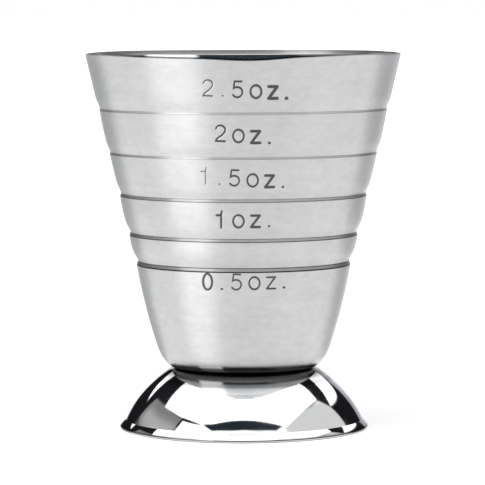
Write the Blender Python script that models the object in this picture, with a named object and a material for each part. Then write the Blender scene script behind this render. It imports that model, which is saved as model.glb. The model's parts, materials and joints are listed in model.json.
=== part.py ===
"""Bar jigger: a stepped, graduated cup of pressed steel sheet, spot-welded to a hollow flared foot.

Lengths are in millimetres and are turned into metres as the meshes are made. +Z is up. The origin is
on the jigger's axis, in the plane that the foot stands on.
"""

import math

import bmesh
import bpy

MM = 0.001
SEGMENTS = 52  # facets around the axis, a multiple of 4 so that the full width lies along X and Y

# Cup: one drawn sheet with a flat floor, a rounded belly and five rolled steps up to the rim.
CUP_SHEET = 0.6
CUP_BASE_Z = 11.18  # underside of the flat floor
CUP_FLAT_RADIUS = 12.3  # the floor is flat inside this radius
CORNER_WIDTH = 4.4  # the belly starts as a quarter ellipse, this wide
CORNER_HEIGHT = 10.6  # and this tall
CORNER_TURN = math.radians(52.0)  # how far round the ellipse the belly goes before the wall
STEP_HEIGHTS = (30.2, 35.5, 42.5, 49.9, 57.9)  # rolled lines, from the bottom one up
STEP_RADII = (19.34, 20.64, 22.28, 24.12, 25.92)
LEDGE_DEPTHS = (0.15, 0.13, 0.12, 0.08, 0.08)  # at each line the wall steps back in by this much
LEDGE_HEIGHT = 0.5  # up a small ledge this tall, centred on the line
BAND_BOWS = (0.18, 0.2, 0.06, 0.08, 0.02)  # how far each band swells between its lines
BELLY_BOW = 0.28  # how far the wall swells between the belly's corner and the lowest line
SHOULDER = 0.28  # each band comes out by this much just above its line
SHOULDER_HEIGHT = 1.1
BAND_MIDDLE = 0.6  # each band has a point at this share of its height
RIM_Z = 67.95
RIM_RADIUS = 28.4  # the wall's widest, just below the rim's top
RIM_OUTER_EASE = (0.2, 0.35)  # taken off the rim's outer edge, across and down
RIM_INNER_EASE = (0.12, 0.2)

# How finely each side of the cup's sheet is divided.
OUTSIDE_CORNER_STEPS = 6
INSIDE_CORNER_STEPS = 5
BELLY_STEPS = 4
OUTSIDE_SHOULDER_HEIGHTS = (0.6, 1.2, 2.2)  # points on each shoulder, up from its line
INSIDE_SHOULDER_HEIGHTS = (1.4,)

# Foot: one spun sheet, an upturned bowl with a flat crown and a lip turned out to stand on.
FOOT_SHEET = 0.6
CROWN_Z = 10.88  # top of the flat crown, just under the cup's floor
DOME_BASE_Z = 1.6  # where the dome runs into the lip
DOME_BASE_RADIUS = 21.48
DOME_ARC_RADIUS = 22.2
DOME_BASE_ANGLE = math.radians(25.8)  # the dome's lean from the vertical at its base
DOME_TOP_ANGLE = math.radians(57.0)  # and where the crown's rounded edge takes over
LIP_RADIUS = 22.5
LIP_INNER_RADIUS = 21.05  # inner edge of the flat ring that the jigger stands on
LIP_EDGE_RADIUS = 0.25  # the lip's edge is upright, with its top and bottom rounded by this much
LIP_EDGE_TOP = 0.55  # centre of the top rounding
LIP_FACE_END = math.radians(33.0)  # the lip's upper face meets that rounding at this tilt
LIP_FACE_BOW = 0.085  # how far the upper face swells above a straight line

# How finely the foot's sheet is divided, outside and inside.
OUTSIDE_DOME_STEPS = 7
OUTSIDE_CROWN_STEPS = 4
INSIDE_DOME_STEPS = 6
INSIDE_CROWN_STEPS = 3
LIP_FACE_STEPS = 3
LIP_ROUND_STEPS = 2

# Spot welds: nuggets fused half into each sheet, where the cup's floor sits on the crown.
WELD_COUNT = 4
WELD_CIRCLE_RADIUS = 7.0
WELD_RADIUS = 1.6
WELD_HALF_HEIGHT = 0.3
WELD_CLEARANCE = 0.15
WELD_EASE = 0.15  # bevel round each end of a nugget
WELD_SEGMENTS = 16

STEEL = (0.62, 0.63, 0.64)
WELD_GREY = (0.38, 0.37, 0.36)
SATIN = 0.3  # roughness of the brushed cup
POLISHED = 0.06  # and of the foot
DULL = 0.5  # and of the welds
SHARP_EDGE = math.radians(30.0)  # faces that meet at more than this are shaded as an edge


def clear_scene():
    for old in list(bpy.data.objects):
        bpy.data.objects.remove(old)


def steel(name, colour, roughness):
    material = bpy.data.materials.new(name)
    material.use_nodes = True
    shader = material.node_tree.nodes["Principled BSDF"]
    shader.inputs["Base Color"].default_value = (*colour, 1.0)
    shader.inputs["Metallic"].default_value = 1.0
    shader.inputs["Roughness"].default_value = roughness
    return material


def corner_points(count):
    """The belly's lower corner, from the flat floor's edge up the ellipse."""
    points = []
    for i in range(count + 1):
        turn = CORNER_TURN * i / count
        r = CUP_FLAT_RADIUS + CORNER_WIDTH * math.sin(turn)
        z = CUP_BASE_Z + CORNER_HEIGHT * (1.0 - math.cos(turn))
        points.append((r, z))
    return points


def bowed_points(low, high, bow, count):
    """A wall from low to high that swells outward by bow halfway; low itself is left out."""
    points = []
    for i in range(1, count + 1):
        t = i / count
        r = low[0] + (high[0] - low[0]) * t + 4.0 * bow * t * (1.0 - t)
        points.append((r, low[1] + (high[1] - low[1]) * t))
    return points


def band_points(low, high, bow, heights):
    """A band between two rolled lines: a short shoulder, then a nearly straight lean to the next line."""
    tall = high[1] - low[1]
    points = []
    for up in heights:
        t = up / tall
        lean = low[0] + (high[0] - low[0] - SHOULDER) * t
        shoulder = SHOULDER * (1.0 - math.exp(-((up / SHOULDER_HEIGHT) ** 2)))
        points.append((lean + shoulder + 4.0 * bow * t * (1.0 - t), low[1] + up))
    return points


def cup_wall(corner_count, belly_count, shoulder_heights, ledge_half):
    """The cup's wall, from the floor's flat edge up to the rim; ledge_half of 0 leaves the ledges out."""
    starts = []
    ends = []
    for radius, height, depth in zip(STEP_RADII, STEP_HEIGHTS, LEDGE_DEPTHS):
        ends.append((radius, height - ledge_half))
        starts.append((radius - (depth if ledge_half else 0.0), height + ledge_half))
    ends.append((RIM_RADIUS, RIM_Z - RIM_OUTER_EASE[1]))
    points = corner_points(corner_count)
    points += bowed_points(points[-1], ends[0], BELLY_BOW, belly_count)
    for low, high, bow in zip(starts, ends[1:], BAND_BOWS):
        if ledge_half:
            points.append(low)
        heights = [*shoulder_heights, (high[1] - low[1]) * BAND_MIDDLE]
        points += band_points(low, high, bow, heights)
        points.append(high)
    return points


def inward(points, distance):
    """The same line moved inward, towards the axis and up, by distance along its normals."""
    moved = []
    for i, (r, z) in enumerate(points):
        before = points[max(i - 1, 0)]
        after = points[min(i + 1, len(points) - 1)]
        dr, dz = after[0] - before[0], after[1] - before[1]
        length = math.hypot(dr, dz)
        moved.append((r - distance * dz / length, z + distance * dr / length))
    return moved


def cup_outline():
    """Closed outline of the cup's sheet: under the floor, up the outside, over the rim, down the inside."""
    outside = cup_wall(OUTSIDE_CORNER_STEPS, BELLY_STEPS, OUTSIDE_SHOULDER_HEIGHTS, LEDGE_HEIGHT / 2.0)
    inside = inward(cup_wall(INSIDE_CORNER_STEPS, BELLY_STEPS, INSIDE_SHOULDER_HEIGHTS, 0.0), CUP_SHEET)
    rim_inside = RIM_RADIUS - CUP_SHEET
    rim = [
        (RIM_RADIUS, RIM_Z - RIM_OUTER_EASE[1]),
        (RIM_RADIUS - RIM_OUTER_EASE[0], RIM_Z),
        (rim_inside + RIM_INNER_EASE[0], RIM_Z),
        (rim_inside, RIM_Z - RIM_INNER_EASE[1]),
    ]
    floor_top = CUP_BASE_Z + CUP_SHEET
    inside[0] = (CUP_FLAT_RADIUS, floor_top)
    return [(0.0, CUP_BASE_Z), *outside[:-1], *rim, *reversed(inside[:-1]), (0.0, floor_top)]


def dome_points(shrink, dome_count, edge_count):
    """The foot's dome and crown edge, from the base up, shrunk inward by the sheet's thickness."""
    radius = DOME_ARC_RADIUS - shrink
    centre_r = DOME_BASE_RADIUS - DOME_ARC_RADIUS * math.cos(DOME_BASE_ANGLE)
    centre_z = DOME_BASE_Z - DOME_ARC_RADIUS * math.sin(DOME_BASE_ANGLE)
    points = []
    for i in range(dome_count + 1):
        lean = DOME_BASE_ANGLE + (DOME_TOP_ANGLE - DOME_BASE_ANGLE) * i / dome_count
        points.append((centre_r + radius * math.cos(lean), centre_z + radius * math.sin(lean)))
    top_z = centre_z + DOME_ARC_RADIUS * math.sin(DOME_TOP_ANGLE)
    edge_radius = (CROWN_Z - top_z) / (1.0 - math.sin(DOME_TOP_ANGLE))
    top_r = centre_r + DOME_ARC_RADIUS * math.cos(DOME_TOP_ANGLE)
    edge_centre_r = top_r - edge_radius * math.cos(DOME_TOP_ANGLE)
    edge_centre_z = CROWN_Z - edge_radius
    for i in range(1, edge_count + 1):
        lean = DOME_TOP_ANGLE + (math.pi / 2 - DOME_TOP_ANGLE) * i / edge_count
        r = edge_centre_r + (edge_radius - shrink) * math.cos(lean)
        points.append((r, edge_centre_z + (edge_radius - shrink) * math.sin(lean)))
    return points


def lip_edge_points():
    """The lip's edge, from where its upper face ends down to its flat underside."""
    points = []
    roundings = ((LIP_EDGE_TOP, LIP_FACE_END, 0.0), (LIP_EDGE_RADIUS, 0.0, -math.pi / 2))
    for centre_z, first, last in roundings:
        for i in range(LIP_ROUND_STEPS + 1):
            turn = first + (last - first) * i / LIP_ROUND_STEPS
            r = LIP_RADIUS - LIP_EDGE_RADIUS + LIP_EDGE_RADIUS * math.cos(turn)
            points.append((r, centre_z + LIP_EDGE_RADIUS * math.sin(turn)))
    return points


def lip_face_points(edge_top):
    """The lip's upper face, between the dome's base and the top of the lip's edge, swollen a little."""
    run_r, run_z = edge_top[0] - DOME_BASE_RADIUS, edge_top[1] - DOME_BASE_Z
    length = math.hypot(run_r, run_z)
    points = []
    for i in range(1, LIP_FACE_STEPS):
        t = i / LIP_FACE_STEPS
        swell = 4.0 * LIP_FACE_BOW * t * (1.0 - t) / length
        r = DOME_BASE_RADIUS + run_r * t - run_z * swell
        points.append((r, DOME_BASE_Z + run_z * t + run_r * swell))
    return points


def foot_outline():
    """Closed outline of the foot's sheet: over the crown, down the dome, round the lip, up the hollow."""
    outside = dome_points(0.0, OUTSIDE_DOME_STEPS, OUTSIDE_CROWN_STEPS)
    hollow = dome_points(FOOT_SHEET, INSIDE_DOME_STEPS, INSIDE_CROWN_STEPS)
    edge = lip_edge_points()
    return [
        (0.0, CROWN_Z),
        *reversed(outside),
        *lip_face_points(edge[0]),
        *edge,
        (LIP_INNER_RADIUS, 0.0),
        *hollow,
        (0.0, CROWN_Z - FOOT_SHEET),
    ]


def turned(name, outline, material):
    """Spin a closed outline, which starts and ends on the axis, into one solid."""
    shape = bmesh.new()
    corners = [shape.verts.new((r * MM, 0.0, z * MM)) for r, z in outline]
    edges = [shape.edges.new(pair) for pair in zip(corners, corners[1:])]
    bmesh.ops.spin(
        shape,
        geom=corners + edges,
        axis=(0.0, 0.0, 1.0),
        cent=(0.0, 0.0, 0.0),
        angle=math.tau,
        steps=SEGMENTS,
        use_merge=True,
    )
    bmesh.ops.remove_doubles(shape, verts=shape.verts, dist=1e-7)
    bmesh.ops.dissolve_degenerate(shape, dist=1e-7, edges=shape.edges)
    bmesh.ops.recalc_face_normals(shape, faces=shape.faces)
    mesh = bpy.data.meshes.new(name)
    shape.to_mesh(mesh)
    shape.free()
    mesh.shade_smooth()
    mesh.set_sharp_from_angle(angle=SHARP_EDGE)
    mesh.materials.append(material)
    body = bpy.data.objects.new(name, mesh)
    bpy.context.collection.objects.link(body)
    return body


def weld_places():
    for i in range(WELD_COUNT):
        angle = math.tau * (i + 0.5) / WELD_COUNT
        yield WELD_CIRCLE_RADIUS * math.cos(angle), WELD_CIRCLE_RADIUS * math.sin(angle)


def short_cylinder(name, radius, half_height, x, y):
    """An upright cylinder centred between the two sheets."""
    shape = bmesh.new()
    bmesh.ops.create_cone(
        shape,
        cap_ends=True,
        segments=WELD_SEGMENTS,
        radius1=radius * MM,
        radius2=radius * MM,
        depth=2.0 * half_height * MM,
    )
    mesh = bpy.data.meshes.new(name)
    shape.to_mesh(mesh)
    shape.free()
    body = bpy.data.objects.new(name, mesh)
    body.location = (x * MM, y * MM, (CUP_BASE_Z + CROWN_Z) / 2.0 * MM)
    bpy.context.collection.objects.link(body)
    return body


def spot_weld(name, material, x, y):
    """One weld nugget, with its rim eased."""
    nugget = short_cylinder(name, WELD_RADIUS, WELD_HALF_HEIGHT, x, y)
    nugget.data.materials.append(material)
    nugget.data.shade_smooth()
    ease = nugget.modifiers.new("eased_rim", "BEVEL")
    ease.width = WELD_EASE * MM
    ease.segments = 1
    ease.limit_method = "ANGLE"
    return nugget


def cut_weld_pockets(sheet):
    """Leave room in a sheet for the half of each nugget that sinks into it."""
    half_height = WELD_HALF_HEIGHT + WELD_CLEARANCE
    for number, (x, y) in enumerate(weld_places(), start=1):
        name = f"{sheet.name}_pocket_{number}"
        cutter = short_cylinder(name, WELD_RADIUS + WELD_CLEARANCE, half_height, x, y)
        cutter.hide_render = True
        cutter.display_type = "WIRE"
        cut = sheet.modifiers.new(name, "BOOLEAN")
        cut.operation = "DIFFERENCE"
        cut.solver = "EXACT"
        cut.object = cutter


clear_scene()
cup = turned("cup", cup_outline(), steel("satin_steel", STEEL, SATIN))
foot = turned("foot", foot_outline(), steel("polished_steel", STEEL, POLISHED))
cut_weld_pockets(cup)
cut_weld_pockets(foot)
for number, (x, y) in enumerate(weld_places(), start=1):
    spot_weld(f"spot_weld_{number}", steel(f"weld_{number}", WELD_GREY, DULL), x, y)
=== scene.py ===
"""Bar jigger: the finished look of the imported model.

The cup and the foot are turned again here at full detail, in the same place and at the same size as their
CAD nodes. Lengths are in millimetres until a mesh is made. +Z is up, and the graduations face -Y.
"""

import json
import math

import bpy
import numpy as np
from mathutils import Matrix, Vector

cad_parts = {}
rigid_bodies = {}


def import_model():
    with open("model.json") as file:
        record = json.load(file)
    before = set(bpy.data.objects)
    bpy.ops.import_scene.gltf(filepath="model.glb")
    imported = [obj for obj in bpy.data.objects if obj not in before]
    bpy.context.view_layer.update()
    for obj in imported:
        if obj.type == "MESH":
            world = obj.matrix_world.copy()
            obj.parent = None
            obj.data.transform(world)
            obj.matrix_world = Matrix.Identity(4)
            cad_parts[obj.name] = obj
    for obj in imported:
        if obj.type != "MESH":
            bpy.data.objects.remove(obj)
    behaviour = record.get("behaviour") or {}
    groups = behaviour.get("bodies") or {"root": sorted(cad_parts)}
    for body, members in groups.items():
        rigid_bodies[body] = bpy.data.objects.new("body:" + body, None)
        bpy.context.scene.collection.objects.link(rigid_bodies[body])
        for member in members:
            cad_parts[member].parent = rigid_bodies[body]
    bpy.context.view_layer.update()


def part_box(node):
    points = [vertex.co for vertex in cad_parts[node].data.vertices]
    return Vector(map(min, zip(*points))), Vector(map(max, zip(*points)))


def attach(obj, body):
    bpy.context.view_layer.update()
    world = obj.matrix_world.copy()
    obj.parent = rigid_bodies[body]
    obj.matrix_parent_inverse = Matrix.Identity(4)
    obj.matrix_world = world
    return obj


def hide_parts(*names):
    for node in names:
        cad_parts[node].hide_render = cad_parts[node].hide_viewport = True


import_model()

MM = 0.001

# Sizes read from the frame.
CUP_LOW, CUP_HIGH = (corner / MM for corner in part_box("cup"))
FOOT_LOW, FOOT_HIGH = (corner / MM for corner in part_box("foot"))
RIM_Z = CUP_HIGH.z
RIM_RADIUS = CUP_HIGH.x
LIP_RADIUS = FOOT_HIGH.x
JOIN_Z = (CUP_LOW.z + FOOT_HIGH.z) / 2.0  # where the cup's floor sits on the foot's crown

# The cup's sheet, as in the CAD model.
SHEET = 0.6
FLAT_RADIUS = 12.3
CORNER_WIDTH = 4.4
CORNER_HEIGHT = 10.6
CORNER_TURN = math.radians(52.0)
BELLY_BOW = 0.28
STEP_HEIGHTS = (30.2, 35.5, 42.5, 49.9, 57.9)
STEP_RADII = (19.34, 20.64, 22.28, 24.12, 25.92)
BAND_BOWS = (0.18, 0.2, 0.06, 0.08, 0.02)
SHOULDER = 0.28
SHOULDER_HEIGHT = 1.1

# The ledge at each rolled line: the wall turns from its lean to LEDGE_TILTS, facing up, and back.
LEDGE_TILTS = (23.0, 22.0, 20.0, 14.0, 10.0)
LEDGE_SIZES = (1.0, 0.82, 0.74, 0.5, 0.5)
# How dark each ledge's creases are painted: painted shade where the wall turns, darkening the colour.
CREASE_SHADES = (1.0, 0.85, 0.75, 0.5, 0.35)
LEDGE_LEADS = (0.62, 0.66, 0.6, 0.5, 0.85)  # how far below its line a ledge starts, in sizes
# A ledge's three runs: the share of its tilt at the start and the end, the length and the painted shade in
# its crease.
LEDGE_RUNS = ((0.0, 1.0, 0.22, 1.0), (1.0, 1.0, 0.5, 0.5), (1.0, 0.0, 0.2, 0.85))
LEDGE_POINTS = 6  # in each run
WALL_LEAN = -10.0

# The foot's sheet.
DOME_BASE_Z = 1.6
DOME_BASE_RADIUS = 21.48
DOME_ARC_RADIUS = 22.2
DOME_BASE_ANGLE = math.radians(25.8)
DOME_TOP_ANGLE = math.radians(57.0)
LIP_INNER_RADIUS = 21.05
LIP_EDGE_RADIUS = 0.25  # the lip's edge is upright, with its top and bottom rounded by this much
LIP_EDGE_TOP = 0.35  # centre of the top rounding
LIP_FACE_END = math.radians(33.0)  # the lip's upper face meets that rounding at this tilt
LIP_FACE_BOW = 0.03  # how far the upper face swells above a straight line
LIP_INSIDE = ((-0.12, 0.35), (0.0, 0.06), (0.1, 0.0))  # from the lip's inner radius: across, height
LIP_FACE_POINTS = 12
CRISP = 0.015  # width of the rows beside a sharp corner
DOME_POINTS = 60
CROWN_EDGE_POINTS = 16
# How dark the lip's edge is painted, by height: painted shade where it meets the floor.
LIP_EDGE_SHADE = ((0.25, 0.0), (0.31, 0.88), (0.46, 0.88), (0.52, 0.5), (0.66, 0.4), (0.74, 0.0))
# The lip's flat underside is darkened with painted shade, up to this height, where it stands on the floor.
UNDERSIDE_SHADE_HEIGHT = 0.15
UNDERSIDE_SHADE_FADE = 0.1
UNDERSIDE_SHADE = 0.7
CROWN_GAP = 0.02  # between the two sheets

# Painted shade in the crevice where the cup widens over the foot, and a painted highlight on the foot just
# outside it. How dark, 0 to 1, or below 0 where bright: by height above the join on the cup, and by radius
# on the foot.
CUP_CREVICE_SHADE = ((0.5, 0.45), (0.8, 0.65), (1.1, 0.3), (1.9, 0.22), (2.15, 0.0))
FOOT_CREVICE_SHADE_AND_HIGHLIGHT = (
    (13.7, 0.96), (14.0, 0.9), (14.5, 0.68), (14.9, 0.42), (15.7, 0.5),
    (16.0, 0.0), (16.4, -0.2), (17.4, -0.3), (18.6, -0.3), (19.0, 0.0),
)

# The rim's outer edge is eased back all round, most at the front, and it dips a little at both sides.
RIM_DROP = 0.35  # the wall is at its widest this far below the rim's top
RIM_FLARE = 0.255  # how far the wall leans out for each millimetre up
RIM_OUTER_ROUND = 0.1
RIM_INNER_ROUND = 0.2
RIM_POINTS = 6  # on each rounding
RIM_SHADE = 0.65  # how dark the rim's roundings are painted: painted shade that tones down their highlight
RIM_DIP = 0.2
DIP_POWER = 8  # how closely the dip keeps to the sides
DIP_HEIGHT = 1.5  # the dip fades out this far below the rim
EASE_ROUND = 0.1
EASE_SLOPE = math.tan(math.radians(23.0))
EASE_ROUND_THE_RIM = 0.38  # height of the ease
EASE_FRONT = (0.45, -8.0, 60.0)  # what the front adds to it, middle and reach in degrees
EASE_PEAK = (0.35, 3.0, 20.0)
EASE_MOST = 1.2  # rows this far below the rim are all kept
# A painted shade line along the ease's lower edge, where the front adds to it: the colour is darkened there.
EASE_LINE = 0.9
EASE_LINE_RISE = 0.16  # of its middle, above the edge
EASE_LINE_HALF = 0.11  # its dark part reaches this far from its middle, and its soft edge as far again
EASE_LINE_FADE = 0.2  # what the front has added where the line is in full

# The dimples that the welding electrodes leave on the two sheets.
WELD_COUNT = 4
WELD_RING_RADIUS = 7.0
WELD_MARK_RADIUS = 1.9
WELD_MARK_DEPTH = 0.07

# Rows of the meshes: radii on the flats, and points along the wall.
FLOOR_ROWS = (0.0, 4.0, 8.0, 11.5)
FLOOR_EDGE = 0.7  # the inside's flat floor ends this far inside the outside's
CROWN_ROW = 6.0
WELD_ROWS = np.arange(4.7, 9.4, 0.35)  # close enough to carry the dimples
CORNER_POINTS = 60
BELLY_POINTS = 220
OUTSIDE_TURN = math.radians(3.0)  # a row for each of these turns of the wall
OUTSIDE_STEP = 0.8  # and no rows further apart than this
INSIDE_TURN = math.radians(4.0)
INSIDE_STEP = 1.2
LEVEL = 0.1  # a corner this near a flat's height is on that flat

COLUMNS = 192  # around the axis
FINE = 9  # finer columns in each, where the wall is stamped
FINE_STEP = 0.085  # height of the finest rows

# The stamped graduations: text, middle along the wall, foot line's height, climb over its length, and how
# hard each sign was struck.
STROKE_HALF = 0.23
STAMP_DEPTH = 0.1
LABELS = (
    ("2.5oz.", 0.46, 60.5, -0.7, (0.75, 0.85, 1.0, 1.2, 2.0, 2.2)),
    ("2oz.", 0.04, 52.7, -0.6, (1.0, 1.1, 1.7, 1.5)),
    ("1.5oz.", -0.13, 45.05, -0.85, (0.6, 0.8, 0.95, 1.0, 1.6, 1.3)),
    ("1oz.", -0.01, 37.75, 0.1, (1.2, 1.1, 1.4, 1.2)),
    ("0.5oz.", 0.16, 26.65, 0.25, (1.15, 1.3, 0.9, 1.0, 0.95, 1.4)),
)


# ---------------------------------------------------------------- outlines


def arc(centre, radius, start, end, count):
    """Points on a circle in the (r, z) plane, from start to end, both in radians from +r."""
    turns = np.linspace(start, end, count)
    return np.column_stack([centre[0] + radius * np.cos(turns), centre[1] + radius * np.sin(turns)])


def tangents(points):
    across = np.gradient(points, axis=0)
    return across / np.maximum(np.hypot(across[:, 0], across[:, 1]), 1e-9)[:, None]


def outward(points):
    """Unit normals in the (r, z) plane, to the right of the way up the line."""
    along = tangents(points)
    return np.column_stack([along[:, 1], -along[:, 0]])


def ledge(start, lean, tilt, size):
    """From start, turn from the wall's lean to face up by tilt, run on, and turn back. In degrees.

    Also returns how much painted shade each point gets: the two turns are the creases, painted darker where
    shade falls in them.
    """
    points = [np.asarray(start, float)]
    painted_shades = [0.0]
    for first, last, length, painted_shade in LEDGE_RUNS:
        begin, end = (lean + (tilt - lean) * share for share in (first, last))
        for i in range(LEDGE_POINTS):
            angle = math.radians(begin + (end - begin) * (i + 0.5) / LEDGE_POINTS)
            step = length * size / LEDGE_POINTS
            points.append(points[-1] + step * np.array([-math.sin(angle), math.cos(angle)]))
            painted_shades.append(painted_shade)
    painted_shades[-1] = 0.0
    return np.array(points), np.array(painted_shades)


def band(low, high, bow, count):
    """A band between two lines: a short rounded shoulder, then a nearly straight lean."""
    t = np.linspace(0.0, 1.0, count)
    up = t * (high[1] - low[1])
    shoulder = SHOULDER * (1.0 - np.exp(-((up / SHOULDER_HEIGHT) ** 2)))
    r = low[0] + (high[0] - low[0] - SHOULDER) * t + shoulder + 4.0 * bow * t * (1.0 - t)
    return np.column_stack([r, low[1] + up])


def cup_outside(with_ledges):
    """The cup's wall from the edge of its flat floor to the rim, and the painted shade of the creases at
    each of its points.
    """
    turns = np.linspace(0.0, CORNER_TURN, CORNER_POINTS)
    corner = np.column_stack([
        FLAT_RADIUS + CORNER_WIDTH * np.sin(turns),
        JOIN_Z + CORNER_HEIGHT * (1.0 - np.cos(turns)),
    ])
    ledges = []
    painted_shades = []
    shapes = zip(STEP_RADII, STEP_HEIGHTS, LEDGE_TILTS, LEDGE_SIZES, LEDGE_LEADS, CREASE_SHADES)
    for r, z, tilt, size, lead, strength in shapes:
        points, painted_shade = np.array([(r, z)]), np.zeros(1)
        if with_ledges:
            points, painted_shade = ledge((r, z - lead * size), WALL_LEAN, tilt, size)
        ledges.append(points)
        painted_shades.append(strength * painted_shade)
    t = np.linspace(0.0, 1.0, BELLY_POINTS)[1:, None]
    belly = corner[-1] + (ledges[0][0] - corner[-1]) * t
    belly[:, 0] += (4.0 * BELLY_BOW * t * (1.0 - t))[:, 0]
    parts = [corner, belly]
    marks = [np.zeros(len(corner)), np.zeros(len(belly))]
    ends = [one[0] for one in ledges[1:]] + [np.array([RIM_RADIUS + RIM_DROP * RIM_FLARE, RIM_Z])]
    for one, painted_shade, end, bow in zip(ledges, painted_shades, ends, BAND_BOWS):
        count = math.ceil((end[1] - one[-1][1]) / FINE_STEP)
        wall = band(one[-1], end, bow, count)[1:]
        parts += [one[1:], wall]
        marks += [painted_shade[1:], np.zeros(len(wall))]
    return np.vstack(parts), np.concatenate(marks)


def rows_to_keep(points, turn_limit, step_limit):
    """Indices of a coarser line: a new point wherever the line has turned or run far enough."""
    along = tangents(points)
    heading = np.unwrap(np.arctan2(along[:, 1], along[:, 0]))
    keep = [0]
    for i in range(1, len(points) - 1):
        turned = abs(heading[i] - heading[keep[-1]])
        run = np.hypot(*(points[i] - points[keep[-1]]))
        if turned > turn_limit or run > step_limit:
            keep.append(i)
    keep.append(len(points) - 1)
    return keep


# ---------------------------------------------------------------- stamped figures


def curve(cx, cy, rx, ry, start, end, count=24):
    """Part of an ellipse, in degrees from +x, as a line of points."""
    turns = np.radians(np.linspace(start, end, count))
    return np.column_stack([cx + rx * np.cos(turns), cy + ry * np.sin(turns)])


def line(*points):
    return np.array(points, float)


def figure(sign):
    """Half the room that a sign takes, and its strokes, from the middle of its foot line."""
    if sign == "0":
        return 1.55, [curve(0.0, 1.42, 0.84, 1.42, 0, 360, 40)]
    if sign == "1":
        return 1.55, [line((0.1, 0.0), (0.1, 2.3), (0.24, 2.9)), line((-0.7, 2.2), (-0.3, 2.16), (0.1, 2.3))]
    if sign == "2":
        top = curve(0.02, 1.98, 0.82, 0.78, 165, -38)
        return 1.55, [np.vstack([top, line((0.2, 1.0), (-0.55, 0.5), (-0.84, 0.04), (0.84, 0.0))])]
    if sign == "5":
        bowl = curve(-0.06, 0.88, 0.88, 0.88, 128, -148)
        return 1.55, [line((0.7, 2.72), (-0.52, 2.74), (-0.68, 1.5)), bowl]
    if sign == "o":
        return 1.6, [curve(0.0, 1.1, 0.93, 1.1, 0, 360, 40)]
    if sign == "z":
        return 1.35, [line((-0.74, 2.08), (0.76, 2.08), (-0.76, 0.04), (0.78, 0.04))]
    return 1.05, [line((-0.05, 0.14), (0.05, 0.14))]


def stamped_strokes():
    """Every stroke on the wall as segments: along from x0,z0 to x1,z1, with how hard it was struck."""
    segments = []
    for text, middle, foot_line, climb, weights in LABELS:
        widths = [figure(sign)[0] for sign in text]
        total = 2.0 * sum(widths)
        at = middle - total / 2.0
        for sign, half, weight in zip(text, widths, weights):
            at += half
            _, strokes = figure(sign)
            rise = foot_line + climb * (at - middle) / total
            for stroke in strokes:
                for a, b in zip(stroke, stroke[1:]):
                    segments.append((at + a[0], rise + a[1], at + b[0], rise + b[1], weight))
            at += half
    return np.array(segments)


def groove(x, z, segments):
    """How deep the stamp has gone at points (x, z) on the unrolled wall: 1 in a stroke, 0 outside."""
    deep = np.zeros(len(x))
    for x0, z0, x1, z1, weight in segments:
        half = STROKE_HALF * weight ** 0.7
        near = np.flatnonzero(
            (x > min(x0, x1) - 2 * half) & (x < max(x0, x1) + 2 * half)
            & (z > min(z0, z1) - 2 * half) & (z < max(z0, z1) + 2 * half)
        )
        if not len(near):
            continue
        px, pz = x[near] - x0, z[near] - z0
        dx, dz = x1 - x0, z1 - z0
        t = np.clip((px * dx + pz * dz) / max(dx * dx + dz * dz, 1e-12), 0.0, 1.0)
        away = np.hypot(px - t * dx, pz - t * dz) / half
        wall = np.clip((1.0 - away) / 0.6, 0.0, 1.0)
        deep[near] = np.maximum(deep[near], min(weight, 1.0) * wall * wall * (3.0 - 2.0 * wall))
    return deep


# ---------------------------------------------------------------- meshes


def stamped_cells(outline, rows, segments):
    """Which cells of the coarse mesh a stamped stroke touches: one flag for each row and column."""
    divided = np.zeros((len(rows) - 1, COLUMNS), bool)
    turn = math.tau / COLUMNS
    reach = 3.0 * STROKE_HALF
    left = np.minimum(segments[:, 0], segments[:, 2]) - reach
    right = np.maximum(segments[:, 0], segments[:, 2]) + reach
    low = np.minimum(segments[:, 1], segments[:, 3]) - reach
    high = np.maximum(segments[:, 1], segments[:, 3]) + reach
    for j in range(len(rows) - 1):
        r0, z0 = outline[rows[j]]
        r1, z1 = outline[rows[j + 1]]
        if r0 < FLAT_RADIUS or z1 <= z0:
            continue
        for i in range(COLUMNS):
            middle = (i * turn + math.pi) % math.tau - math.pi
            x0, x1 = middle * r0, (middle + turn) * r0
            divided[j, i] = ((right > x0) & (left < x1) & (high > z0) & (low < z1)).any()
    return divided


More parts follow.
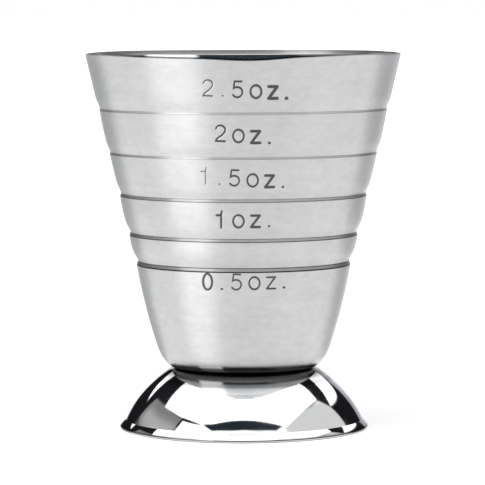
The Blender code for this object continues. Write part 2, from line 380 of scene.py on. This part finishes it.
def revolve(name, outline, keep, painted_shades, stamped, reshape):
    """Turn a line of (r, z) points that starts and ends on the axis into a closed mesh.

    keep lists the rows of the coarse mesh. Where the wall is stamped, its cells are divided down to the
    line's own rows and FINE columns, and the cells beside them take up the extra corners. reshape moves
    the finished points, and adds to their marks.
    """
    fine = FINE if stamped else 1
    rows = keep[1:-1]
    across = COLUMNS * fine
    divided = np.zeros((len(rows) - 1, COLUMNS), bool)
    if stamped:
        segments = stamped_strokes()
        divided = stamped_cells(outline, rows, segments)
    index = {}
    places = []

    def corner(row, column):
        key = (row, column % across)
        if key not in index:
            index[key] = len(places)
            places.append(key)
        return index[key]

    faces = []
    for j in range(len(rows) - 1):
        low, high = rows[j], rows[j + 1]
        for i in range(COLUMNS):
            left, right = i * fine, (i + 1) * fine
            if divided[j, i]:
                for row in range(low, high):
                    for column in range(left, right):
                        faces.append([
                            corner(row, column), corner(row, column + 1),
                            corner(row + 1, column + 1), corner(row + 1, column),
                        ])
                continue
            below = j > 0 and divided[j - 1, i]
            above = j + 1 < len(rows) - 1 and divided[j + 1, i]
            before = divided[j, i - 1]
            after = divided[j, (i + 1) % COLUMNS]
            ring = [corner(low, c) for c in (range(left, right) if below else (left,))]
            ring += [corner(r, right) for r in (range(low, high) if after else (low,))]
            ring += [corner(high, c) for c in (range(right, left, -1) if above else (right,))]
            ring += [corner(r, left) for r in (range(high, low, -1) if before else (high,))]
            faces.append(ring)
    bottom, top = len(places), len(places) + 1
    for i in range(COLUMNS):
        faces.append([bottom, corner(rows[0], (i + 1) * fine), corner(rows[0], i * fine)])
        faces.append([top, corner(rows[-1], i * fine), corner(rows[-1], (i + 1) * fine)])
    place = np.array(places)
    normal = outward(outline)[place[:, 0]]
    point = outline[place[:, 0]].copy()
    turned = place[:, 1] * math.tau / across  # from the front, anticlockwise from above
    along = (turned + math.pi) % math.tau - math.pi
    deep = np.zeros(len(place))
    if stamped:
        wall = (normal[:, 0] > 0.5) & (point[:, 0] > FLAT_RADIUS)
        deep[wall] = groove(along[wall] * point[wall, 0], point[wall, 1], segments)
        point -= normal * (STAMP_DEPTH * deep)[:, None]
    angle = turned - math.pi / 2.0
    xyz = np.column_stack([point[:, 0] * np.cos(angle), point[:, 0] * np.sin(angle), point[:, 1]])
    ends = [(0.0, 0.0, outline[0][1]), (0.0, 0.0, outline[-1][1])]
    xyz = np.vstack([xyz, ends])
    marks = {"stamp": np.append(deep, [0.0, 0.0]), "painted_shade": np.append(painted_shades[place[:, 0]], [0.0, 0.0])}
    reshape(xyz, marks)
    mesh = bpy.data.meshes.new(name)
    mesh.from_pydata((xyz * MM).tolist(), [], faces)
    mesh.validate()
    mesh.shade_smooth()
    for mark, values in marks.items():
        layer = mesh.attributes.new(mark, "FLOAT", "POINT")
        layer.data.foreach_set("value", values.astype(np.float32))
    body = bpy.data.objects.new(name, mesh)
    bpy.context.scene.collection.objects.link(body)
    return body


def weld_dimples(xyz, flat):
    """How deep in a weld's dimple each point is, 0 to 1, on the flat at this height."""
    share = np.zeros(len(xyz))
    for k in range(WELD_COUNT):
        angle = math.tau * (k + 0.5) / WELD_COUNT
        x, y = WELD_RING_RADIUS * math.cos(angle), WELD_RING_RADIUS * math.sin(angle)
        away = np.hypot(xyz[:, 0] - x, xyz[:, 1] - y) / WELD_MARK_RADIUS
        inside = (xyz[:, 2] > flat - LEVEL) & (xyz[:, 2] < flat + LEVEL) & (away < 1.0)
        share[inside] = np.cos(away[inside] * math.pi / 2.0) ** 2
    return share


def ease_height(degrees):
    """How far down the rim's outer ease reaches, at an angle from the front."""
    height = np.full(len(degrees), EASE_ROUND_THE_RIM)
    for extra, middle, reach in (EASE_FRONT, EASE_PEAK):
        away = np.clip((degrees - middle) / reach, -1.0, 1.0)
        height += extra * np.cos(away * math.pi / 2.0) ** 2
    return height


def shape_cup(xyz, marks):
    """Ease and dip the rim, and press the weld marks into the cup's floor."""
    radius = np.hypot(xyz[:, 0], xyz[:, 1])
    height = ease_height(np.degrees(np.arctan2(xyz[:, 0], -xyz[:, 1])))
    over = np.maximum(xyz[:, 2] - (RIM_Z - height), 0.0)
    inset = EASE_SLOPE * over * over / (over + EASE_ROUND)
    wall_in = RIM_RADIUS - SHEET - (RIM_Z - RIM_DROP - xyz[:, 2]) * RIM_FLARE
    through = np.clip((radius - wall_in) / SHEET, 0.0, 1.0)
    marks["polish"] = np.clip(over / EASE_ROUND, 0.0, 1.0) * (through > 0.5)
    # Painted shade: a dark line in the colour along the ease's lower edge.
    line = np.clip(2.0 - np.abs(xyz[:, 2] - RIM_Z + height - EASE_LINE_RISE) / EASE_LINE_HALF, 0.0, 1.0)
    line *= EASE_LINE * np.clip((height - EASE_ROUND_THE_RIM) / EASE_LINE_FADE, 0.0, 1.0)
    marks["painted_shade"] = np.maximum(marks["painted_shade"], line * (through > 0.5))
    eased = np.minimum(radius - inset * through, RIM_RADIUS)
    xyz[:, :2] *= (eased / np.maximum(radius, 1e-9))[:, None]
    aside = np.abs(xyz[:, 0]) / np.maximum(radius, 1.0)
    xyz[:, 2] -= RIM_DIP * aside ** DIP_POWER * np.clip(1.0 - (RIM_Z - xyz[:, 2]) / DIP_HEIGHT, 0.0, 1.0)
    floor_top = JOIN_Z + SHEET
    marks["weld"] = weld_dimples(xyz, floor_top)
    xyz[:, 2] -= WELD_MARK_DEPTH * marks["weld"]


def shape_foot(xyz, marks):
    """Press the weld marks into the underside of the foot's crown."""
    under = JOIN_Z - CROWN_GAP - SHEET
    marks["weld"] = weld_dimples(xyz, under)
    xyz[:, 2] += WELD_MARK_DEPTH * marks["weld"]


def make_cup():
    outside, painted_shades = cup_outside(True)
    smooth, _ = cup_outside(False)
    keep_smooth = rows_to_keep(smooth, INSIDE_TURN, INSIDE_STEP)
    inside = smooth[keep_smooth] - outward(smooth)[keep_smooth] * SHEET
    floor_top = JOIN_Z + SHEET
    inside = inside[inside[:, 1] > floor_top + 0.02]
    inside = inside[inside[:, 1] < RIM_Z - SHEET]
    top_radius = RIM_RADIUS + RIM_DROP * RIM_FLARE
    out_middle = (top_radius - RIM_OUTER_ROUND, RIM_Z - RIM_OUTER_ROUND)
    in_middle = (top_radius - SHEET + RIM_INNER_ROUND, RIM_Z - RIM_INNER_ROUND)
    rim_out = arc(out_middle, RIM_OUTER_ROUND, 0.05, math.pi / 2, RIM_POINTS)
    rim_in = arc(in_middle, RIM_INNER_ROUND, math.pi / 2, math.pi - 0.1, RIM_POINTS)
    below = outside[:, 1] < RIM_Z - RIM_OUTER_ROUND
    outside, painted_shades = outside[below], painted_shades[below]
    under = np.column_stack([FLOOR_ROWS, np.full(len(FLOOR_ROWS), JOIN_Z)])
    floor = np.column_stack([WELD_ROWS[::-1], np.full(len(WELD_ROWS), floor_top)])
    floor = np.vstack([(FLAT_RADIUS - FLOOR_EDGE, floor_top), floor, (0.0, floor_top)])
    outline = np.vstack([under, outside, rim_out, rim_in, inside[::-1], floor])
    start = len(under)
    end = start + len(outside)
    keep = set(range(start)) | set(range(end, len(outline)))
    keep |= {start + i for i in rows_to_keep(outside, OUTSIDE_TURN, OUTSIDE_STEP)}
    keep |= {start + i + k for i in np.flatnonzero(np.diff(painted_shades)) for k in (0, 1)}
    keep |= set(range(start + int(np.argmax(outside[:, 1] > RIM_Z - EASE_MOST)), end))
    marks = np.zeros(len(outline))
    # Painted shade in the crevice above the join.
    marks[:end] = np.interp(outline[:end, 1] - JOIN_Z, *zip(*CUP_CREVICE_SHADE))
    marks[start:end] = np.maximum(marks[start:end], painted_shades)
    # Painted shade on the rim's roundings, toning down their highlight.
    marks[end:end + len(rim_out) + len(rim_in)] = RIM_SHADE
    return revolve("cup_body", outline, sorted(keep), marks, True, shape_cup)


def make_foot():
    centre_r = DOME_BASE_RADIUS - DOME_ARC_RADIUS * math.cos(DOME_BASE_ANGLE)
    centre_z = DOME_BASE_Z - DOME_ARC_RADIUS * math.sin(DOME_BASE_ANGLE)
    crown = JOIN_Z - CROWN_GAP
    top_z = centre_z + DOME_ARC_RADIUS * math.sin(DOME_TOP_ANGLE)
    edge_radius = (crown - top_z) / (1.0 - math.sin(DOME_TOP_ANGLE))
    edge_r = centre_r + (DOME_ARC_RADIUS - edge_radius) * math.cos(DOME_TOP_ANGLE)
    edge_z = crown - edge_radius

    def sheet_line(shrink):
        """The dome and the crown's edge, from the base up, shrunk inward."""
        centre = (centre_r, centre_z)
        radius = DOME_ARC_RADIUS - shrink
        beside = DOME_BASE_ANGLE + CRISP / DOME_ARC_RADIUS
        dome = arc(centre, radius, DOME_BASE_ANGLE, DOME_TOP_ANGLE, DOME_POINTS)
        crisp = arc(centre, radius, beside, beside, 1)
        edge = arc((edge_r, edge_z), edge_radius - shrink, DOME_TOP_ANGLE, math.pi / 2, CROWN_EDGE_POINTS)
        return np.vstack([dome[:1], crisp, dome[1:], edge[1:]])

    edge_middle = LIP_RADIUS - LIP_EDGE_RADIUS
    edge_low = arc((edge_middle, LIP_EDGE_RADIUS), LIP_EDGE_RADIUS, -math.pi / 2, 0.0, 8)
    edge_high = arc((edge_middle, LIP_EDGE_TOP), LIP_EDGE_RADIUS, 0.0, LIP_FACE_END, 6)
    run = np.array([DOME_BASE_RADIUS, DOME_BASE_Z]) - edge_high[-1]
    even = np.linspace(0.0, 1.0, LIP_FACE_POINTS + 2)[1:-1]
    t = np.append(even, [1.0 - CRISP / np.hypot(*run), 1.0])[:, None]
    swell = np.array([run[1], -run[0]]) / np.hypot(*run)
    face = edge_high[-1] + run * t + 4.0 * LIP_FACE_BOW * t * (1.0 - t) * swell
    outside = np.vstack([edge_low, edge_high, face, sheet_line(0.0)[1:]])
    hollow = sheet_line(SHEET)[::-1]
    inner = np.array([(LIP_INNER_RADIUS + across, z) for across, z in LIP_INSIDE])
    crown_rows = np.column_stack([WELD_ROWS, np.full(len(WELD_ROWS), crown - SHEET)])
    hidden = np.vstack([(0.0, crown - SHEET), crown_rows, hollow, inner])
    outline = np.vstack([hidden, outside, (CROWN_ROW, crown), (0.0, crown)])
    # Painted shade on the lip's flat underside, where it stands on the floor.
    underside_shade = np.clip((UNDERSIDE_SHADE_HEIGHT - outline[:, 1]) / UNDERSIDE_SHADE_FADE, 0.0, UNDERSIDE_SHADE)
    underside_shade *= outline[:, 0] > LIP_INNER_RADIUS
    # Painted shade along the lip's edge, where it meets the floor.
    edge_shade = np.interp(outline[:, 1], *zip(*LIP_EDGE_SHADE)) * (outline[:, 0] > edge_middle)
    # Painted shade in the crevice under the cup, and below zero a painted highlight just outside it.
    painted_crevice = np.interp(outline[:, 0], *zip(*FOOT_CREVICE_SHADE_AND_HIGHLIGHT))
    painted_crevice[:len(hidden)] = 0.0
    marks = np.where(painted_crevice < 0.0, painted_crevice, np.maximum(np.maximum(underside_shade, edge_shade), painted_crevice))
    return revolve("foot_body", outline, list(range(len(outline))), marks, False, shape_foot)


# ---------------------------------------------------------------- materials


class Graph:
    """Short names for the nodes of one material or world."""

    def __init__(self, tree):
        self.tree = tree

    def node(self, kind, **settings):
        made = self.tree.nodes.new(kind)
        for name, value in settings.items():
            setattr(made, name, value)
        return made

    def put(self, socket, value):
        if isinstance(value, bpy.types.NodeSocket):
            self.tree.links.new(value, socket)
        else:
            socket.default_value = value

    def math(self, operation, *values):
        made = self.node("ShaderNodeMath", operation=operation)
        for socket, value in zip(made.inputs, values):
            self.put(socket, value)
        return made.outputs[0]

    def ramp(self, value, low, high, out_low=0.0, out_high=1.0):
        """Smoothly from out_low to out_high as value goes from low to high."""
        made = self.node("ShaderNodeMapRange", interpolation_type="SMOOTHSTEP")
        sockets = ("Value", "From Min", "From Max", "To Min", "To Max")
        for name, given in zip(sockets, (value, low, high, out_low, out_high)):
            self.put(made.inputs[name], given)
        return made.outputs["Result"]

    def mix(self, factor, first, second):
        made = self.node("ShaderNodeMix", data_type="RGBA")
        self.put(made.inputs["Factor"], factor)
        self.put(made.inputs[6], first)
        self.put(made.inputs[7], second)
        return made.outputs[2]

    def noise(self, scales, detail=2.0, rough=0.5):
        """Noise in the piece's own space, with a scale for each axis in cycles per metre."""
        place = self.node("ShaderNodeTexCoord").outputs["Object"]
        scaled = self.node("ShaderNodeVectorMath", operation="MULTIPLY")
        self.put(scaled.inputs[0], place)
        scaled.inputs[1].default_value = scales
        made = self.node("ShaderNodeTexNoise")
        self.put(made.inputs["Vector"], scaled.outputs[0])
        made.inputs["Scale"].default_value = 1.0
        made.inputs["Detail"].default_value = detail
        made.inputs["Roughness"].default_value = rough
        return made.outputs["Fac"]

    def height(self):
        split = self.node("ShaderNodeSeparateXYZ")
        self.put(split.inputs[0], self.node("ShaderNodeTexCoord").outputs["Object"])
        return split.outputs["Z"]

    def mark(self, name):
        return self.node("ShaderNodeAttribute", attribute_name=name).outputs["Fac"]

    def bump(self, height, strength, distance):
        made = self.node("ShaderNodeBump")
        self.put(made.inputs["Height"], height)
        made.inputs["Strength"].default_value = strength
        made.inputs["Distance"].default_value = distance
        return made.outputs["Normal"]


def steel(name, base):
    """A new steel: its material, node helper, shader and plain base colour."""
    material = bpy.data.materials.new(name)
    material.use_nodes = True
    graph = Graph(material.node_tree)
    shader = material.node_tree.nodes["Principled BSDF"]
    shader.inputs["Metallic"].default_value = 1.0
    colour = graph.node("ShaderNodeRGB").outputs[0]
    colour.default_value = (*base, 1.0)
    return material, graph, shader, colour


def specks(graph, cells, share, size):
    """Small pits scattered at random: 1 at a pit. cells per metre, the share with a pit, size in cells."""
    made = graph.node("ShaderNodeTexVoronoi")
    graph.put(made.inputs["Vector"], graph.node("ShaderNodeTexCoord").outputs["Object"])
    made.inputs["Scale"].default_value = cells
    chance = graph.node("ShaderNodeSeparateColor")
    graph.put(chance.inputs[0], made.outputs["Color"])
    here = graph.math("LESS_THAN", chance.outputs[0], share)
    return graph.math("MULTIPLY", here, graph.ramp(made.outputs["Distance"], size, 0.4 * size))


def satin_steel():
    """Lathe-brushed steel: fine lines run round it, so that highlights spread up and down."""
    material, graph, shader, colour = steel("satin_steel", (0.85, 0.853, 0.857))
    lines = graph.noise((90.0, 90.0, 7500.0), 3.0, 0.6)
    streaks = graph.noise((25.0, 25.0, 1700.0), 2.0, 0.5)
    mottle = graph.noise((140.0, 140.0, 110.0), 3.0, 0.6)
    scuffs = graph.noise((520.0, 520.0, 900.0), 3.0, 0.65)
    streaked = graph.ramp(streaks, 0.3, 0.7, 0.985, 1.005)
    tone = graph.math("MULTIPLY", streaked, graph.ramp(mottle, 0.3, 0.7, 0.965, 1.01))
    tone = graph.math("MULTIPLY", tone, graph.ramp(scuffs, 0.3, 0.7, 0.955, 1.025))
    tone = graph.math("MULTIPLY", tone, graph.ramp(graph.mark("stamp"), 0.05, 0.8, 1.0, 0.16))
    # Painted shade: darker in the ledges' creases, along the ease's lower edge, on the rim's roundings and
    # in the crevice above the join.
    tone = graph.math("MULTIPLY", tone, graph.math("MULTIPLY_ADD", graph.mark("painted_shade"), -0.95, 1.0))
    tone = graph.math("MULTIPLY", tone, graph.ramp(specks(graph, 260.0, 0.05, 0.05), 0.0, 1.0, 1.0, 0.75))
    shaded = graph.node("ShaderNodeVectorMath", operation="SCALE")
    graph.put(shaded.inputs[0], graph.mix(graph.mark("weld"), colour, (0.5, 0.46, 0.43, 1.0)))
    graph.put(shaded.inputs["Scale"], tone)
    graph.put(shader.inputs["Base Color"], shaded.outputs[0])
    height = graph.height()
    polish = graph.math(
        "MULTIPLY",
        graph.ramp(height, (JOIN_Z + 1.2) * MM, (JOIN_Z + 2.6) * MM, 0.3, 1.0),
        graph.ramp(graph.mark("polish"), 0.0, 1.0, 1.0, 0.22),
    )
    rough = graph.math("MULTIPLY", graph.ramp(lines, 0.25, 0.75, 0.38, 0.42), polish)
    graph.put(shader.inputs["Roughness"], rough)
    graph.put(shader.inputs["Normal"], graph.bump(lines, 0.05, 0.00002))
    shader.inputs["Anisotropic"].default_value = 0.9
    shader.inputs["Anisotropic Rotation"].default_value = 0.25
    tangent = graph.node("ShaderNodeTangent", direction_type="RADIAL", axis="Z")
    graph.put(shader.inputs["Tangent"], tangent.outputs["Tangent"])
    return material


def polished_steel():
    """Mirror-polished steel, with faint wipe marks and hairline scratches."""
    material, graph, shader, colour = steel("polished_steel", (0.76, 0.765, 0.77))
    wiped = graph.noise((130.0, 130.0, 260.0), 4.0, 0.6)
    hairs = graph.noise((60.0, 60.0, 3200.0), 2.0, 0.5)
    tone = graph.ramp(wiped, 0.3, 0.7, 0.97, 1.01)
    tone = graph.math("MULTIPLY", tone, graph.ramp(graph.mark("weld"), 0.0, 1.0, 1.0, 0.6))
    # Painted shade on the lip's edge and underside and in the crevice under the cup; below zero, a painted
    # highlight on the foot just outside the crevice.
    tone = graph.math("MULTIPLY", tone, graph.math("MULTIPLY_ADD", graph.mark("painted_shade"), -0.95, 1.0))
    shaded = graph.node("ShaderNodeVectorMath", operation="SCALE")
    graph.put(shaded.inputs[0], colour)
    graph.put(shaded.inputs["Scale"], tone)
    graph.put(shader.inputs["Base Color"], shaded.outputs[0])
    scratched = graph.ramp(hairs, 0.6, 0.8, 0.0, 0.03)
    rough = graph.math("ADD", graph.ramp(wiped, 0.35, 0.75, 0.02, 0.07), scratched)
    graph.put(shader.inputs["Roughness"], rough)
    graph.put(shader.inputs["Normal"], graph.bump(hairs, 0.03, 0.00001))
    return material


def weld_metal():
    """The fused nuggets: dull steel, mottled and a little browned by the heat."""
    material, graph, shader, colour = steel("weld_metal", (0.46, 0.43, 0.41))
    mottle = graph.noise((900.0, 900.0, 900.0), 4.0, 0.6)
    graph.put(shader.inputs["Base Color"], graph.mix(mottle, colour, (0.3, 0.27, 0.29, 1.0)))
    graph.put(shader.inputs["Roughness"], graph.ramp(mottle, 0.3, 0.7, 0.4, 0.6))
    graph.put(shader.inputs["Normal"], graph.bump(mottle, 0.3, 0.0001))
    return material


# ---------------------------------------------------------------- studio

# The camera, in metres and in degrees.
CAMERA_BACK = 0.5596  # from the jigger's axis
CAMERA_HEIGHT = 0.0762
CAMERA_PITCH = 4.363
CAMERA_ROLL = 0.15
CAMERA_SIDE = -0.00007
SENSOR_WIDTH = 36.0
FOCAL_LENGTH = 230.1

# What the steel reflects. Each panel is a convex shape, with its corners anticlockwise as seen from the
# jigger. "near" and "far" corners are in degrees: to the right of the camera's side, or to the left of the
# far side as the camera sees it, and above the horizon. "over" corners lie in a plane one unit above the
# jigger: x to the right, y away from the camera. After the corners come the edge's softness and the level.
NAVY = (0.022, 0.03, 0.042)
BLACK = (0.012, 0.012, 0.014)
FLOOR = (0.98, 0.98, 0.98)
SOFTBOX = (1.9, 1.9, 1.9)
FILL = (1.35, 1.35, 1.35)
PANELS = (
    ("near", ((-90, -90), (90, -90), (90, 90), (-90, 90)), 3.0, NAVY),
    ("near", ((-200, -90), (200, -90), (200, 0), (-200, 0)), 0.6, FLOOR),
    ("near", ((-200, -90), (200, -90), (200, -44), (-200, -44)), 14.0, (0.74, 0.74, 0.745)),
    ("near", ((70, -90), (200, -90), (200, -29), (70, -29)), 9.0, (0.84, 0.84, 0.845)),
    ("near", ((-200, -90), (-64, -90), (-64, -32), (-200, -32)), 9.0, (0.88, 0.88, 0.885)),
    ("far", ((-60, -20), (-24, -20), (-24, 0), (-60, 0)), 2.0, (0.52, 0.52, 0.53)),
    ("far", ((14, -20), (50, -20), (50, 0), (14, 0)), 2.0, (0.5, 0.51, 0.51)),
    ("far", ((-27, -4), (-8, -4), (-8, 20), (-22, 18)), 2.5, (0.42, 0.42, 0.46)),
    ("far", ((-13, -4), (2, -4), (2, 20), (-13, 20)), 6.0, (0.9, 0.9, 0.92)),
    ("far", ((0, -4), (13, -4), (10, 12), (0, 14)), 2.0, (1.0, 1.0, 1.0)),
    ("near", ((-134, 0), (-76, 0), (-76, 14), (-134, 14)), 5.0, (0.3, 0.3, 0.3)),
    ("near", ((40, 0), (124, 0), (124, 16), (40, 16)), 6.0, (0.3, 0.3, 0.3)),
    ("near", ((-74, 0), (-34, 0), (-34, 34), (-74, 34)), 4.0, SOFTBOX),
    ("near", ((-62, 31), (62, 31), (62, 38), (30, 45), (0, 47.3), (-30, 45), (-62, 38)), 0.7, FILL),
    ("near", ((37, 43.5), (56, 38), (54, 47.5)), 0.4, FILL),
    ("near", ((-56, 38), (-37, 43.5), (-54, 47.5)), 0.4, FILL),
    ("near", ((-135, 16), (-79, 16), (-79, 43.5), (-112, 39), (-134, 29)), 1.2, (0.26, 0.26, 0.26)),
    ("near", ((-131, 18), (-81, 18), (-81, 37), (-112, 32), (-130, 26)), 5.0, (0.52, 0.52, 0.52)),
    ("near", ((-112, 18), (-81, 18), (-81, 28), (-110, 24)), 4.0, (0.68, 0.68, 0.68)),
    ("near", ((54, 18), (122, 18), (122, 31), (116, 42), (80, 50), (48, 50)), 1.6, (0.82, 0.82, 0.82)),
    ("near", ((-78, 30), (-50, 34), (-50, 46), (-78, 42)), 0.8, (2.6, 2.6, 2.6)),
    ("near", ((-81, 36), (-78, 36), (-78, 44), (-81, 44)), 0.8, BLACK),
    ("far", ((12, 19), (26, 19), (37, 20), (26, 29)), 1.0, SOFTBOX),
    ("far", ((-57, 31), (-32, 20), (-18, 18), (-32, 37)), 1.0, SOFTBOX),
    (
        "over",
        (
            (-0.78, -0.56), (-0.55, -0.655), (0.8, -0.655), (1.0, 0.52),
            (0.62, 0.6), (-0.62, 0.7), (-1.22, 0.54), (-1.06, -0.1),
        ),
        0.02,
        SOFTBOX,
    ),
    ("over", ((-0.4, -0.6), (0.4, -0.6), (0.4, -0.25), (-0.4, -0.25)), 0.05, (3.3, 3.3, 3.3)),
    (
        "over",
        ((-0.66, -0.35), (-0.72, -0.5), (-0.55, -0.62), (-0.42, -0.62), (-0.42, -0.35)),
        0.03,
        (7.0, 7.0, 7.0),
    ),
    (
        "over",
        (
            (-0.22, -0.16), (0.22, -0.16), (0.36, 0.0), (0.36, 0.2),
            (0.2, 0.4), (-0.2, 0.4), (-0.36, 0.2), (-0.36, 0.0),
        ),
        0.12,
        (0.9, 0.9, 0.9),
    ),
    ("over", ((-0.16, -0.185), (0.16, -0.185), (0.16, -0.165), (-0.16, -0.165)), 0.012, (0.4, 0.43, 0.47)),
)


def panel_mask(graph, across, up, corners, softness):
    """1 inside a convex panel and 0 outside, from the signed distance to each of its edges."""
    mask = None
    for (x0, y0), (x1, y1) in zip(corners, corners[1:] + corners[:1]):
        length = math.hypot(x1 - x0, y1 - y0)
        a, b = -(y1 - y0) / length, (x1 - x0) / length
        side = graph.math("MULTIPLY_ADD", across, a, -(a * x0 + b * y0))
        side = graph.math("MULTIPLY_ADD", up, b, side)
        edge = graph.ramp(side, -softness, softness)
        mask = edge if mask is None else graph.math("MULTIPLY", mask, edge)
    return mask


def make_world():
    """The panels round the jigger, and plain white for what the camera sees behind it."""
    world = bpy.data.worlds.new("studio")
    world.use_nodes = True
    tree = world.node_tree
    graph = Graph(tree)
    split = graph.node("ShaderNodeSeparateXYZ")
    graph.put(split.inputs[0], graph.node("ShaderNodeTexCoord").outputs["Generated"])
    x, y, z = split.outputs
    degree = 180.0 / math.pi
    away = graph.math("MULTIPLY", y, -1.0)
    above = graph.math("MAXIMUM", z, 1e-4)
    up = graph.math("MULTIPLY", graph.math("ARCSINE", z), degree)
    leftward = graph.math("MULTIPLY", x, -1.0)
    planes = {
        "near": (graph.math("MULTIPLY", graph.math("ARCTAN2", x, away), degree), up),
        "far": (graph.math("MULTIPLY", graph.math("ARCTAN2", leftward, y), degree), up),
        "over": (graph.math("DIVIDE", x, above), graph.math("DIVIDE", y, above)),
    }
    level = (*BLACK, 1.0)
    for plane, corners, softness, brightness in PANELS:
        mask = panel_mask(graph, *planes[plane], corners, softness)
        if plane == "over":
            mask = graph.math("MULTIPLY", mask, graph.math("GREATER_THAN", z, 0.02))
        level = graph.mix(mask, level, (*brightness, 1.0))
    behind = graph.node("ShaderNodeLightPath").outputs["Is Camera Ray"]
    seen = graph.mix(behind, level, (1.0, 1.0, 1.0, 1.0))
    graph.put(tree.nodes["Background"].inputs["Color"], seen)
    bpy.context.scene.world = world
    bpy.context.scene.view_settings.view_transform = "Standard"


def make_camera():
    lens = bpy.data.cameras.new("camera")
    lens.sensor_width = SENSOR_WIDTH
    lens.lens = FOCAL_LENGTH
    camera = bpy.data.objects.new("camera", lens)
    camera.location = (CAMERA_SIDE, -CAMERA_BACK, CAMERA_HEIGHT)
    camera.rotation_euler = (math.radians(90.0 - CAMERA_PITCH), math.radians(CAMERA_ROLL), 0.0)
    bpy.context.scene.collection.objects.link(camera)
    bpy.context.scene.camera = camera


def make_floor():
    """A plain white floor. The steel reflects the world's own floor, so this one stays out of it."""
    bpy.ops.mesh.primitive_plane_add(size=80.0, location=(0.0, 0.0, 0.0))
    floor = bpy.context.object
    floor.name = "floor"
    floor.visible_glossy = False
    floor.visible_shadow = False
    material = bpy.data.materials.new("floor_white")
    material.use_nodes = True
    shader = material.node_tree.nodes["Principled BSDF"]
    shader.inputs["Base Color"].default_value = (0.97, 0.97, 0.97, 1.0)
    shader.inputs["Roughness"].default_value = 1.0
    shader.inputs["Specular IOR Level"].default_value = 0.0
    shader.inputs["Emission Color"].default_value = (1.0, 1.0, 1.0, 1.0)
    shader.inputs["Emission Strength"].default_value = 0.15
    floor.data.materials.append(material)


make_camera()
make_floor()
make_world()
cup = make_cup()
foot = make_foot()
cup.data.materials.append(satin_steel())
foot.data.materials.append(polished_steel())
for piece, node, finish in ((cup, "cup", "satin_steel"), (foot, "foot", "polished_steel")):
    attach(piece, "root")
    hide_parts(node)
nugget = weld_metal()
for k in range(WELD_COUNT):
    slots = bpy.data.objects[f"spot_weld_{k + 1}"].data.materials
    slots.clear()
    slots.append(nugget)
